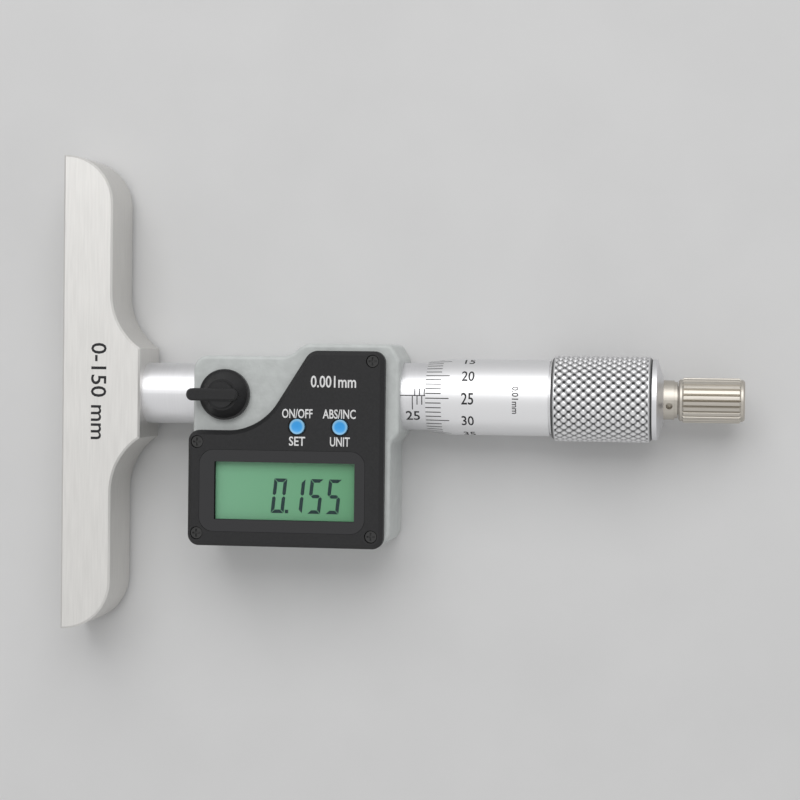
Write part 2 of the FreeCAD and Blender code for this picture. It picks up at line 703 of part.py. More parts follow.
def cap_ring():
    low, high = ring_groove()
    radius = CAP_THREAD_RADIUS - RING_SECTION + THREAD_FIT / 2
    section = RING_SECTION - THREAD_FIT / 2
    points = []
    for step in range(RING_SIDES):
        angle = 2 * math.pi * step / RING_SIDES
        across = radius + section * math.cos(angle)
        points.append(Vector(across, 0, (low + high) / 2 + section * math.sin(angle)))
    ring = flat_face(points).revolve(Vector(0, 0, 0), Z_AXIS, 360)
    ring.translate(CELL_CENTRE)
    return ring


def battery_cell():
    x, y = CELL_CENTRE.x, CELL_CENTRE.y
    low = cap_levels()[2] + THREAD_FIT
    top = low + CELL_HEIGHT
    can = post_z(x, y, low, top - CELL_RIM, CELL_RADIUS)
    return can.fuse(post_z(x, y, top - CELL_RIM, top, CELL_RADIUS - 2 * CELL_RIM))


def battery_contact():
    """Spring leaf from the circuit board down to the middle of the cell."""
    x, y = CELL_CENTRE.x, CELL_CENTRE.y
    low = cap_levels()[2] + THREAD_FIT + CELL_HEIGHT
    half = CONTACT_WIDTH / 2
    width = (y - half, y + half)
    reach = CELL_RADIUS / 2
    leaf = block((x, x + reach), width, (low, low + CONTACT_THICKNESS))
    riser = block((x + reach - CONTACT_THICKNESS, x + reach), width, (low, Z_BOARD))
    foot = block((x + reach, x + 2 * reach), width, (Z_BOARD - CONTACT_THICKNESS, Z_BOARD))
    return leaf.fuse(riser).fuse(foot).removeSplitter()


# ---- spindle lock ------------------------------------------------------------------------
def lock_knob():
    """Round knob with a conical crown, a boss and one long wing to turn it by."""
    low = HOUSING_FRONT + FACE_GAP
    top = low + LOCK_HEIGHT
    rim = post_z(X_LOCK, 0, low, low + LOCK_RIM, LOCK_RADIUS)
    cone_top = top - LOCK_BOSS_HEIGHT
    cone = Part.makeCone(
        LOCK_RADIUS - LOCK_EDGE,
        LOCK_CROWN_RADIUS,
        cone_top - low - LOCK_RIM,
        Vector(X_LOCK, 0, low + LOCK_RIM),
        Z_AXIS,
    )
    boss = post_z(X_LOCK, 0, cone_top, top, LOCK_BOSS_RADIUS)
    half = LOCK_WING_WIDTH / 2
    outline = rectangle(
        X_LOCK - LOCK_WING_REACH,
        X_LOCK + LOCK_WING_BACK,
        -half,
        half,
        LOCK_WING_CORNER,
    )
    wing_top = top + LOCK_WING_PROUD
    wing = slab(outline, low + LOCK_WING_UNDER, wing_top)
    wing = wing.makeChamfer(LOCK_EDGE, edges_at(wing, wing_top))
    knob = rim.fuse(cone).fuse(boss).fuse(wing)
    return knob.cut(post_z(X_LOCK, 0, low, low + LOCK_BORE_DEPTH, LOCK_SCREW_RADIUS))


def lock_screw():
    low = LOCK_SHOE_TOP + THREAD_FIT
    high = HOUSING_FRONT + FACE_GAP + LOCK_BORE_DEPTH
    return post_z(X_LOCK, 0, low, high, LOCK_SCREW_RADIUS)


def lock_shoe():
    """Brass plug, hollowed to the spindle's radius, that the lock screw presses down."""
    shoe = post_z(X_LOCK, 0, 0, LOCK_SHOE_TOP, LOCK_SHOE_RADIUS)
    return shoe.cut(ring_x(X_LOCK - GUIDE_RADIUS, X_LOCK + GUIDE_RADIUS, GUIDE_BORE))


# ---- spindle guide and encoder -----------------------------------------------------------
def guide_bush():
    bush = ring_x(X_NECK_END, X_BUSH_END, GUIDE_RADIUS, GUIDE_BORE)
    return bush.cut(post_z(X_LOCK, 0, 0, GUIDE_RADIUS, LOCK_SHOE_RADIUS + RUN_FIT))


def spindle_seal():
    return ring_x(X_BUSH_END, X_SEAL_END, GUIDE_RADIUS, GUIDE_BORE)


def rotor_bush():
    """Bush that the spindle slides through and turns by a key."""
    bush = ring_x(X_CHAMBER + FACE_GAP, X_ROTOR + DISC_THICKNESS, ROTOR_BUSH_RADIUS, GUIDE_BORE)
    return bush.cut(rotor_key(ROTOR_BUSH_RADIUS))


def rotor_key(reach=ROTOR_BUSH_RADIUS - THREAD_FIT):
    """Pin across the bush's wall whose inner end runs in the spindle's keyway."""
    inner = SPINDLE_RADIUS - KEYWAY_DEPTH + THREAD_FIT
    return post_z(X_KEY_PIN, 0, -reach, -inner, KEY_PIN_RADIUS)


def encoder_rotor():
    return ring_x(X_ROTOR, X_ROTOR + DISC_THICKNESS, DISC_RADIUS, ROTOR_BUSH_RADIUS)


def encoder_stator():
    disc = ring_x(X_STATOR, X_CHAMBER_END, DISC_RADIUS, ROTOR_BUSH_RADIUS)
    half = TAB_WIDTH / 2
    tab = block((X_STATOR, X_CHAMBER_END), (-TAB_REACH, -TAB_ROOT), (-half, half))
    return disc.fuse(tab).removeSplitter()


def encoder_flex():
    """Ribbon from the encoder's tab up to the underside of the circuit board."""
    low = -TAB_WIDTH / 2
    near = -TAB_REACH - FLEX_THICKNESS
    return block((X_STATOR, X_CHAMBER_END), (near, -TAB_REACH), (low, Z_BOARD))


# ---- sleeves, nut and spindle ------------------------------------------------------------
def sleeve():
    """Graduated sleeve; a small hole at the back takes the zero-setting spanner."""
    tube = ring_x(X_NOSE - SLEEVE_SEAT, X_SLEEVE_END, SLEEVE_RADIUS, NUT_RADIUS)
    hole_x = X_NOSE + SCALE_MARGIN
    return tube.cut(post_z(hole_x, 0, -SLEEVE_RADIUS - OVERCUT, 0, SPANNER_HOLE_RADIUS))


def spindle_nut():
    """Inner sleeve fixed in the nose, split and threaded at its rear end."""
    tail = X_NUT_END - NUT_TAIL
    body = turned([
        (X_CHAMBER_END + DISC_THICKNESS / 2, CLEAR_BORE),
        (X_NUT, CLEAR_BORE),
        (X_NUT, THREAD_BORE),
        (X_NUT_END, THREAD_BORE),
        (X_NUT_END, NUT_TAIL_RADIUS),
        (tail, NUT_TAIL_RADIUS),
        (tail, NUT_RADIUS),
        (X_CHAMBER_END + DISC_THICKNESS / 2, NUT_RADIUS),
    ])
    half = NUT_SLOT_WIDTH / 2
    slot = block(
        (X_NUT_END - NUT_SLOT_LENGTH, X_NUT_END + OVERCUT),
        (-half, half),
        (0, NUT_RADIUS + OVERCUT),
    )
    for index in range(NUT_SLOTS):
        body = body.cut(spun(slot, (index + 0.5) * 360 / NUT_SLOTS))
    return body


def adjusting_nut():
    """Ring nut that closes the split nut on the thread; two notches take a spanner."""
    middle = X_NUT_END - NUT_TAIL / 2
    start = middle - ADJUST_LENGTH / 2
    ring = ring_x(start, start + ADJUST_LENGTH, ADJUST_RADIUS, NUT_TAIL_RADIUS)
    half = ADJUST_NOTCH / 2
    notch = block(
        (start + ADJUST_LENGTH - ADJUST_NOTCH, start + ADJUST_LENGTH),
        (-ADJUST_RADIUS, ADJUST_RADIUS),
        (-half, half),
    )
    core = ring_x(start, start + ADJUST_LENGTH, (ADJUST_RADIUS + NUT_TAIL_RADIUS) / 2)
    return ring.cut(notch.cut(core))


def spindle():
    """Ground rod with rod socket, keyway, thread and a cone that carries the thimble."""
    pilot = ROD_RADIUS + ROD_FIT
    pilot_end = X_SPINDLE + ROD_PILOT_LENGTH
    socket_end = pilot_end + ROD_THREAD_LENGTH
    thread_start = X_NUT - READING_ROOM
    body = turned([
        (X_SPINDLE, pilot),
        (pilot_end, pilot),
        (pilot_end, ROD_THREAD_RADIUS),
        (socket_end, ROD_THREAD_RADIUS),
        (socket_end, 0),
        (X_CAP_END - FACE_GAP, 0),
        (X_CAP_END - FACE_GAP, STUD_RADIUS),
        (X_RECESS, STUD_RADIUS),
        (X_RECESS, CONE_RADIUS),
        (X_WEB, THREAD_RADIUS),
        (thread_start, THREAD_RADIUS),
        (thread_start, SPINDLE_RADIUS),
        (X_SPINDLE, SPINDLE_RADIUS),
    ])
    body = body.cut(ring_x(X_CAP_END - STEM_STUD_LENGTH, X_CAP_END, STEM_STUD_RADIUS))
    return body.cut(keyway())


def keyway():
    side = KEY_PIN_RADIUS + RUN_FIT
    start = X_KEY_PIN - READING_ROOM
    end = X_KEY_PIN + TRAVEL - READING + 2 * KEY_PIN_RADIUS
    floor = SPINDLE_RADIUS - KEYWAY_DEPTH
    return block((start, end), (-side, side), (-SPINDLE_RADIUS - OVERCUT, -floor))


# ---- thimble and ratchet -----------------------------------------------------------------
def thimble():
    """Graduated drum with a tapered lip, a joint groove, a raised grip and a coned web."""
    grip = X_THIMBLE + GRIP_START
    body = turned([
        (X_THIMBLE, THIMBLE_BORE),
        (X_WEB, THIMBLE_BORE),
        (X_WEB, THREAD_RADIUS),
        (X_RECESS, CONE_RADIUS),
        (X_RECESS, THIMBLE_RADIUS - THIMBLE_FIT),
        (X_THIMBLE_END, THIMBLE_RADIUS - THIMBLE_FIT),
        (X_THIMBLE_END, GRIP_RADIUS - GRIP_CHAMFER),
        (X_THIMBLE_END - GRIP_CHAMFER, GRIP_RADIUS),
        (grip + GRIP_CHAMFER, GRIP_RADIUS),
        (grip, GRIP_RADIUS - GRIP_CHAMFER),
        (grip, THIMBLE_RADIUS - GROOVE_DEPTH),
        (grip - GROOVE_WIDTH, THIMBLE_RADIUS - GROOVE_DEPTH),
        (grip - GROOVE_WIDTH, THIMBLE_RADIUS),
        (X_THIMBLE + THIMBLE_TAPER, THIMBLE_RADIUS),
        (X_THIMBLE, THIMBLE_BORE + THIMBLE_LIP),
    ])
    return body


def thimble_cap():
    """End cap that draws the thimble on to the spindle's cone."""
    spigot = THIMBLE_RADIUS - 2 * THIMBLE_FIT
    return turned([
        (X_RECESS, STUD_RADIUS),
        (X_CAP_END, STUD_RADIUS),
        (X_CAP_END, CAP_END_SMALL),
        (X_THIMBLE_END + CAP_END_BAND, CAP_END_RADIUS),
        (X_THIMBLE_END, CAP_END_RADIUS),
        (X_THIMBLE_END, spigot),
        (X_RECESS, spigot),
    ])


def click_teeth(start, length, outer, inner):
    """Toothed face whose peaks and gaps take equal turns."""
    pitch = 360 / CLICK_TEETH
    ring = ring_x(start, start + length, outer, inner)
    width = (outer + OVERCUT) * math.tan(math.radians(pitch / 4 + CLICK_PLAY))
    wedge = flat_face([
        Vector(start, 0, 0),
        Vector(start, -width, outer + OVERCUT),
        Vector(start, width, outer + OVERCUT),
    ])
    gap = wedge.extrude(Vector(length, 0, 0))
    for index in range(CLICK_TEETH):
        ring = ring.cut(spun(gap, index * pitch))
    return ring


def ratchet_stem():
    """Stud, spanner collar, toothed face and the shaft that the knob turns on."""
    face = X_KNOB + CLICK_DISC
    web = X_KNOB + KNOB_SOCKET
    shaft_end = web + KNOB_WEB + THREAD_FIT
    step = X_KNOB - FACE_GAP
    stem = turned([
        (X_CAP_END - STEM_STUD_LENGTH, 0),
        (shaft_end, 0),
        (shaft_end, STEM_SHAFT_RADIUS),
        (face, STEM_SHAFT_RADIUS),
        (face, KNOB_BORE_RADIUS - LOOSE_FIT),
        (step, KNOB_BORE_RADIUS - LOOSE_FIT),
        (step, COLLAR_STEP_RADIUS),
        (X_COLLAR_END, COLLAR_STEP_RADIUS),
        (X_COLLAR_END, COLLAR_RADIUS),
        (X_CAP_END, COLLAR_RADIUS),
        (X_CAP_END, STEM_STUD_RADIUS),
        (X_CAP_END - STEM_STUD_LENGTH, STEM_STUD_RADIUS),
    ])
    teeth = click_teeth(face, CLICK_TOOTH, KNOB_BORE_RADIUS - LOOSE_FIT, STEM_SHAFT_RADIUS)
    stem = stem.fuse(teeth)
    stem = stem.cut(ring_x(shaft_end - END_SCREW_LENGTH, shaft_end, END_SCREW_RADIUS))
    hole = post_z(
        X_CAP_END + COLLAR_HOLE_OFFSET,
        0,
        COLLAR_RADIUS - SPANNER_HOLE_DEPTH,
        COLLAR_RADIUS + OVERCUT,
        SPANNER_HOLE_RADIUS,
    )
    return stem.cut(spun(hole, COLLAR_HOLE_TURN)).removeSplitter()


def click_ring():
    """Toothed ring that turns with the knob and rides on the stem's teeth."""
    start = X_KNOB + CLICK_DISC + THREAD_FIT
    back = start + CLICK_TOOTH
    bore = STEM_SHAFT_RADIUS + RUN_FIT
    outer = KNOB_BORE_RADIUS - LOOSE_FIT
    teeth = spun(click_teeth(start, CLICK_TOOTH, outer, bore), 180 / CLICK_TEETH)
    ring = ring_x(back, back + CLICK_RING, outer, bore).fuse(teeth)
    return ring.removeSplitter()


def ratchet_spring():
    """Coil spring between the click ring and the knob's web."""
    start = X_KNOB + CLICK_DISC + THREAD_FIT + CLICK_TOOTH + CLICK_RING
    length = X_KNOB + KNOB_SOCKET - start - 2 * SPRING_WIRE
    rings = []
    for step in range(SPRING_TURNS * SPRING_STEPS + 1):
        share = step / (SPRING_TURNS * SPRING_STEPS)
        x = start + SPRING_WIRE + length * share
        angle = 2 * math.pi * SPRING_TURNS * share
        out = Vector(0, math.cos(angle), math.sin(angle))
        ring = []
        for along, across in ((-1, 0), (0, -1), (1, 0), (0, 1)):
            radius = SPRING_RADIUS + SPRING_WIRE * across
            ring.append(out * radius + X_AXIS * (x + SPRING_WIRE * along))
        rings.append(ring)
    faces = [flat_face(rings[0]), flat_face(rings[-1])]
    for near, far in zip(rings, rings[1:]):
        for side in range(len(near)):
            faces.append(flat_face([near[side - 1], near[side], far[side]]))
            faces.append(flat_face([near[side - 1], far[side], far[side - 1]]))
    return Part.Solid(Part.makeShell(faces))


def ratchet_knob():
    """Fluted knob, hollow at the front for the click ring and at the back for its screw."""
    web = X_KNOB + KNOB_SOCKET
    flute_start = X_KNOB + KNOB_END_LENGTH
    flute_end = X_KNOB_END - KNOB_END_LENGTH
    edge = KNOB_RADIUS - KNOB_EDGE
    knob = turned([
        (X_KNOB, KNOB_BORE_RADIUS),
        (web, KNOB_BORE_RADIUS),
        (web, STEM_SHAFT_RADIUS + RUN_FIT),
        (web + KNOB_WEB, STEM_SHAFT_RADIUS + RUN_FIT),
        (web + KNOB_WEB, END_SCREW_HEAD + LOOSE_FIT),
        (X_KNOB_END, END_SCREW_HEAD + LOOSE_FIT),
        (X_KNOB_END, KNOB_END_RADIUS - KNOB_END_EDGE),
        (X_KNOB_END - KNOB_END_EDGE, KNOB_END_RADIUS),
        (flute_end, KNOB_END_RADIUS),
        (flute_end, edge),
        (flute_end - KNOB_EDGE, KNOB_RADIUS),
        (flute_start + KNOB_EDGE, KNOB_RADIUS),
        (flute_start, edge),
        (flute_start, KNOB_END_RADIUS),
        (X_KNOB + KNOB_END_EDGE, KNOB_END_RADIUS),
        (X_KNOB, KNOB_END_RADIUS - KNOB_END_EDGE),
    ])
    section = flat_face([
        Vector(flute_start, 0, KNOB_RADIUS - FLUTE_DEPTH),
        Vector(flute_start, -FLUTE_WIDTH / 2, KNOB_RADIUS),
        Vector(flute_start, -FLUTE_WIDTH / 2, KNOB_RADIUS + OVERCUT),
        Vector(flute_start, FLUTE_WIDTH / 2, KNOB_RADIUS + OVERCUT),
        Vector(flute_start, FLUTE_WIDTH / 2, KNOB_RADIUS),
    ])
    flute = section.extrude(Vector(flute_end - flute_start, 0, 0))
    return knob.cut([spun(flute, index * 360 / FLUTE_COUNT) for index in range(FLUTE_COUNT)])


def ratchet_screw():
    """Slotted screw that holds the knob on the stem."""
    seat = X_KNOB + KNOB_SOCKET + KNOB_WEB + THREAD_FIT
    head = ring_x(seat, seat + END_SCREW_HEIGHT, END_SCREW_HEAD)
    screw = head.fuse(ring_x(seat - END_SCREW_LENGTH, seat, END_SCREW_RADIUS))
    top = seat + END_SCREW_HEIGHT
    half = END_SLOT_WIDTH / 2
    slot = block((top - END_SLOT_DEPTH, top), (-half, half), (-END_SCREW_HEAD, END_SCREW_HEAD))
    return screw.cut(slot)


# ---- files -------------------------------------------------------------------------------
def parts():
    yield "base", base()
    yield "neck_tube", neck_tube()
    yield "housing", housing()
    yield "front_panel", front_panel()
    yield "panel_seal", seal_ring()
    yield "panel_screws", panel_screws()
    yield "display_window", display_window()
    yield "lcd_panel", lcd_panel()
    yield "contact_strips", contact_strips()
    yield "circuit_board", circuit_board()
    yield "key_domes", key_domes()
    yield "on_off_key", panel_key(KEY_INSETS[0])
    yield "unit_key", panel_key(KEY_INSETS[1])
    yield "battery_cell", battery_cell()
    yield "battery_contact", battery_contact()
    yield "battery_cap", battery_cap()
    yield "battery_cap_ring", cap_ring()
    yield "lock_knob", lock_knob()
    yield "lock_screw", lock_screw()
    yield "lock_shoe", lock_shoe()
    yield "guide_bush", guide_bush()
    yield "spindle_seal", spindle_seal()
    yield "rotor_bush", rotor_bush()
    yield "rotor_key", rotor_key()
    yield "encoder_rotor", encoder_rotor()
    yield "encoder_stator", encoder_stator()
    yield "encoder_flex", encoder_flex()
    yield "sleeve", sleeve()
    yield "spindle_nut", spindle_nut()
    yield "adjusting_nut", adjusting_nut()
    yield "spindle", spindle()
    yield "thimble", thimble()
    yield "thimble_cap", thimble_cap()
    yield "ratchet_stem", ratchet_stem()
    yield "ratchet_knob", ratchet_knob()
    yield "click_ring", click_ring()
    yield "ratchet_spring", ratchet_spring()
    yield "ratchet_screw", ratchet_screw()


os.makedirs("parts", exist_ok=True)
for name, shape in parts():
    shape.exportStep("parts/" + name + ".step")
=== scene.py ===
import json
import math

import bmesh
import bpy
import numpy as np
from mathutils import Matrix, Vector


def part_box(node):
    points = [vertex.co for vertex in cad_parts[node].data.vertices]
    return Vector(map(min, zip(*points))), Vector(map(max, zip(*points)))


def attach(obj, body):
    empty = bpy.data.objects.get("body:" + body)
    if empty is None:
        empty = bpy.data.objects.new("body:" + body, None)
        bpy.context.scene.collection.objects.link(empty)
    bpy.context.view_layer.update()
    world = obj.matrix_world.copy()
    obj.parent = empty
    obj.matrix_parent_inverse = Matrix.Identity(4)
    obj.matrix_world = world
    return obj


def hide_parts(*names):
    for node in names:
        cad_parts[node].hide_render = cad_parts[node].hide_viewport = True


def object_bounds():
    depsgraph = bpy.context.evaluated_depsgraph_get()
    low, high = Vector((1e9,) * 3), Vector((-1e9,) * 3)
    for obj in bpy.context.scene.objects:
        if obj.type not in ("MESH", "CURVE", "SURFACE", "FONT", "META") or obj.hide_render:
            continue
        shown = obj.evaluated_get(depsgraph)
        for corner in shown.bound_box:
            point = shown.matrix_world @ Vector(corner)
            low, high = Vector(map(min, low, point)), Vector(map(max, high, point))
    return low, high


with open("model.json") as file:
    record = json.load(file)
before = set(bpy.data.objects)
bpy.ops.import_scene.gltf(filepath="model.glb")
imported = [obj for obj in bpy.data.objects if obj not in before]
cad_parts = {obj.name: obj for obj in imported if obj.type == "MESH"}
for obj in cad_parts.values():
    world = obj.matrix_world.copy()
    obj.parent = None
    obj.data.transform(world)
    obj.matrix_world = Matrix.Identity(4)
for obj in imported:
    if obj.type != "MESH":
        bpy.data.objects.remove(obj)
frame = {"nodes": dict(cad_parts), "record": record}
cad_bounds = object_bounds()

# Depth micrometer.  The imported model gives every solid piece; this script adds the finishes, the
# knurled thimble and all that is engraved, printed or shown on the display.  Lengths in these
# constants are millimetres.
MM = 0.001

# ---- thimble drum and its knurl ------------------------------------------------------------
THIMBLE_BORE = 7.18
LIP_RADIUS = 7.4
LIP_TAPER = 5.2
DRUM_RADIUS = 8.0
GROOVE_START = 25.7           # from the drum's front edge
GRIP_START = 26.2
GROOVE_FLOOR = 7.5
GRIP_EDGE = 0.7
RECESS_RADIUS = 7.92
RECESS_DEPTH = 1.0
KNURL_DEPTH = 0.3             # of one groove; twice that where two cross
KNURL_COUNT = 30              # diamonds round the grip
KNURL_PITCH = 2.04            # along the axis
KNURL_LAND = 1.8              # pitch over groove width
KNURL_CELLS = 16              # mesh cells across one diamond
KNURL_MARGIN = 0.75           # plain band at each end of the grip

# ---- scales --------------------------------------------------------------------------------
INK_LIFT = 0.012              # height of an inked or filled line over its surface
DIVISIONS = 50                # lines round the thimble for one turn
READING_DIVISION = 24.5       # thimble division at the index line
INDEX_OFFSET = 0.3            # index line from the top of the sleeve towards the lamp side
SCALE_MARGIN = 2.55           # from the housing's nose to the line for full reading
SCALE_LENGTH = 25
SLEEVE_RADIUS = 7.1
LINE_WIDTH = 0.2
SLEEVE_LINE = 1.9
SLEEVE_LONG_LINE = 3.0
HALF_LINE = 1.5               # half-millimetre lines, on the other side of the index line
SLEEVE_NUMBER_PLACE = 4.5     # middle of the numbers below the index line
SLEEVE_NUMBER_HEIGHT = 2.3
THIMBLE_LINE = 3.3
THIMBLE_LONG_LINE = 5.0
THIMBLE_NUMBER_PLACE = 8.9    # middle of the numbers from the drum's front edge
THIMBLE_NUMBER_HEIGHT = 2.5
THIMBLE_NUMBER_NARROW = 0.8
LONG_LINE_EVERY = 5
UNIT_TEXT_PLACE = 18.9
UNIT_TEXT_TURN = -0.4         # arc from the top of the drum
UNIT_TEXT_SIZE = (5.8, 1.35)
BASE_TEXT_PLACE = (8.1, 0.3)
BASE_TEXT_SIZE = (20.6, 3.4)
INK_WEIGHT = 0.01

# ---- panel words ---------------------------------------------------------------------------
WORD_HEIGHT = 1.95
WORD_WEIGHT = 0.015
WORD_ABOVE_KEY = 2.75
WORD_BELOW_KEY = -3.05
PANEL_TEXT_OFFSET = (-1.5, 9.5)     # from the unit key
PANEL_TEXT_SIZE = (9.6, 2.5)

# ---- display -------------------------------------------------------------------------------
WINDOW_BORDER = 1.3           # printed border over the display's edge
DIGIT_INSET = (2.8, 1.45)     # last digit from the view's right and lower edges
DOT_GAP = 0.25
DISPLAY_TEXT = "0155"
KEY_RIM_RADIUS = 1.6
DIGIT_HEIGHT = 7.3
DIGIT_WIDTH = 2.8
DIGIT_PITCH = 3.9
DIGIT_STROKE = 0.75
DIGIT_SLANT = 6.0             # degrees
SEGMENT_GAP = 0.08
SEGMENTS = {"0": "abcdef", "1": "bc", "5": "acdfg"}

# ---- stage ---------------------------------------------------------------------------------
FLOOR_COLOR = (0.72, 0.72, 0.72)
FLOOR_REACH = 4.0             # metres
CAMERA_PLACE = (137.62, 7.52, 440.0)
CAMERA_ROLL = 0.68            # degrees
CAMERA_LENS = 94.0


# ---- materials: helpers --------------------------------------------------------------------
def new_material(name, color, metallic=0.0, roughness=0.5):
    material = bpy.data.materials.new(name)
    material.use_nodes = True
    shader = shader_of(material)
    shader.inputs["Base Color"].default_value = (*color, 1.0)
    shader.inputs["Metallic"].default_value = metallic
    shader.inputs["Roughness"].default_value = roughness
    return material


def shader_of(material):
    return material.node_tree.nodes["Principled BSDF"]


def add_node(material, kind):
    return material.node_tree.nodes.new(kind)


def link(material, source, output, target, socket):
    material.node_tree.links.new(source.outputs[output], target.inputs[socket])


def object_place(material, scale=(1, 1, 1), offset=(0, 0, 0)):
    """Coordinates in the object's frame, moved by an offset and stretched for each axis."""
    place = add_node(material, "ShaderNodeTexCoord")
    mapping = add_node(material, "ShaderNodeMapping")
    mapping.inputs["Location"].default_value = offset
    mapping.inputs["Scale"].default_value = scale
    link(material, place, "Object", mapping, "Vector")
    return mapping


def noise_on(material, mapping, scale, detail=4.0):
    noise = add_node(material, "ShaderNodeTexNoise")
    noise.inputs["Scale"].default_value = scale
    noise.inputs["Detail"].default_value = detail
    link(material, mapping, "Vector", noise, "Vector")
    return noise


def ramp_to(material, source, output, target, socket, stops):
    """Colours a factor through (position, color) stops."""
    ramp = add_node(material, "ShaderNodeValToRGB")
    elements = ramp.color_ramp.elements
    while len(elements) < len(stops):
        elements.new(0.5)
    for element, (position, color) in zip(elements, stops):
        element.position = position
        element.color = (*color, 1.0)
    link(material, source, output, ramp, "Fac")
    link(material, ramp, "Color", target, socket)
    return ramp


def range_to(material, source, output, target, socket, low, high, start=0.0, end=1.0):
    """Spreads a factor between two numbers."""
    spread = add_node(material, "ShaderNodeMapRange")
    spread.inputs["From Min"].default_value = start
    spread.inputs["From Max"].default_value = end
    spread.inputs["To Min"].default_value = low
    spread.inputs["To Max"].default_value = high
    link(material, source, output, spread, "Value")
    link(material, spread, "Result", target, socket)
    return spread


def bump_from(material, source, output, strength, distance):
    bump = add_node(material, "ShaderNodeBump")
    bump.inputs["Strength"].default_value = strength
    bump.inputs["Distance"].default_value = distance
    link(material, source, output, bump, "Height")
    link(material, bump, "Normal", shader_of(material), "Normal")


def shades(color, spread, low=0.35, high=0.65):
    """Ramp stops a little darker and a little lighter than a colour."""
    darker = tuple(c * (1 - spread) for c in color)
    lighter = tuple(min(c * (1 + spread), 1.0) for c in color)
    return [(low, darker), (high, lighter)]


# ---- materials -----------------------------------------------------------------------------
def brushed(name, color, scale, roughness=(0.36, 0.46), spread=0.03, depth=0.000004, metallic=1.0):
    """Metal with a faint grain; the scale is large across the grain and small along it."""
    material = new_material(name, color, metallic=metallic)
    shader = shader_of(material)
    grain = noise_on(material, object_place(material, scale), 1.0)
    ramp_to(material, grain, "Fac", shader, "Base Color", shades(color, spread))
    range_to(material, grain, "Fac", shader, "Roughness", *roughness)
    bump_from(material, grain, "Fac", 0.25, depth)
    return material


def hammered(name, color):
    """Stoved paint over fine shot: small dimples and a faint change of tone."""
    material = new_material(name, color)
    shader = shader_of(material)
    mapping = object_place(material)
    dimple = noise_on(material, mapping, 1400.0, 2.0)
    patch = noise_on(material, mapping, 500.0, 3.0)
    ramp_to(material, patch, "Fac", shader, "Base Color", shades(color, 0.05))
    range_to(material, patch, "Fac", shader, "Roughness", 0.36, 0.5)
    bump_from(material, dimple, "Fac", 0.4, 0.00012)
    return material


def plastic(name, color, roughness=(0.38, 0.5), fineness=2500.0, depth=0.00002):
    material = new_material(name, color)
    shader = shader_of(material)
    shader.inputs["Specular IOR Level"].default_value = 0.3
    grain = noise_on(material, object_place(material), fineness, 2.0)
    ramp_to(material, grain, "Fac", shader, "Base Color", shades(color, 0.12))
    range_to(material, grain, "Fac", shader, "Roughness", *roughness)
    bump_from(material, grain, "Fac", 0.2, depth)
    return material


def display_material():
    """Reflective display with painted light: lighter green on the left, shading darker towards the right."""
    material = new_material("lcd", (0.25, 0.5, 0.33), roughness=0.3)
    low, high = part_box("lcd_panel")
    place = object_place(material)
    split = add_node(material, "ShaderNodeSeparateXYZ")
    link(material, place, "Vector", split, "Vector")
    across = add_node(material, "ShaderNodeMapRange")
    across.inputs["From Min"].default_value = low[0]
    across.inputs["From Max"].default_value = high[0]
    link(material, split, "X", across, "Value")
    # painted light: the display's colour falls from a lighter left to a darker right
    stops = [(0.05, (0.25, 0.58, 0.35)), (0.95, (0.17, 0.46, 0.24))]
    ramp_to(material, across, "Result", shader_of(material), "Base Color", stops)
    return material


def key_material(node):
    """Blue cap with a paler rim."""
    material = new_material(node, (0.05, 0.35, 0.85), roughness=0.35)
    low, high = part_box(node)
    middle = [(low[axis] + high[axis]) / 2 for axis in (0, 1)]
    place = object_place(material, (1, 1, 0), (-middle[0], -middle[1], 0))
    radius = add_node(material, "ShaderNodeVectorMath")
    radius.operation = "LENGTH"
    link(material, place, "Vector", radius, 0)
    stops = [(0.0, (0.035, 0.36, 0.86)), (0.62, (0.05, 0.40, 0.88)), (0.9, (0.30, 0.62, 0.90))]
    spread = add_node(material, "ShaderNodeMapRange")
    spread.inputs["From Max"].default_value = KEY_RIM_RADIUS * MM
    link(material, radius, "Value", spread, "Value")
    ramp_to(material, spread, "Result", shader_of(material), "Base Color", stops)
    return material


def knurled(name, color):
    """Satin metal with painted shade in its knurl: the grooves are darkened in the base colour, and more where
    they cross.
    """
    material = brushed(name, color, (9000, 60, 60))
    shader = shader_of(material)
    radius = add_node(material, "ShaderNodeVectorMath")
    radius.operation = "LENGTH"
    link(material, object_place(material, (0, 1, 1)), "Vector", radius, 0)
    depth = add_node(material, "ShaderNodeMapRange")
    depth.inputs["From Min"].default_value = DRUM_RADIUS * MM
    depth.inputs["From Max"].default_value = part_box("thimble")[1][1]
    link(material, radius, "Value", depth, "Value")
    # painted shade: darkest at the groove floors and crossings, lighter up the flanks, plain metal on the land
    painted_groove_shade = tuple(c * 0.12 for c in color)
    painted_flank_shade = tuple(c * 0.55 for c in color)
    stops = [(0.0, color), (0.2, color), (0.24, painted_groove_shade), (0.6, painted_groove_shade), (0.8, painted_flank_shade), (0.97, color)]
    ramp_to(material, depth, "Result", shader, "Base Color", stops)
    return material


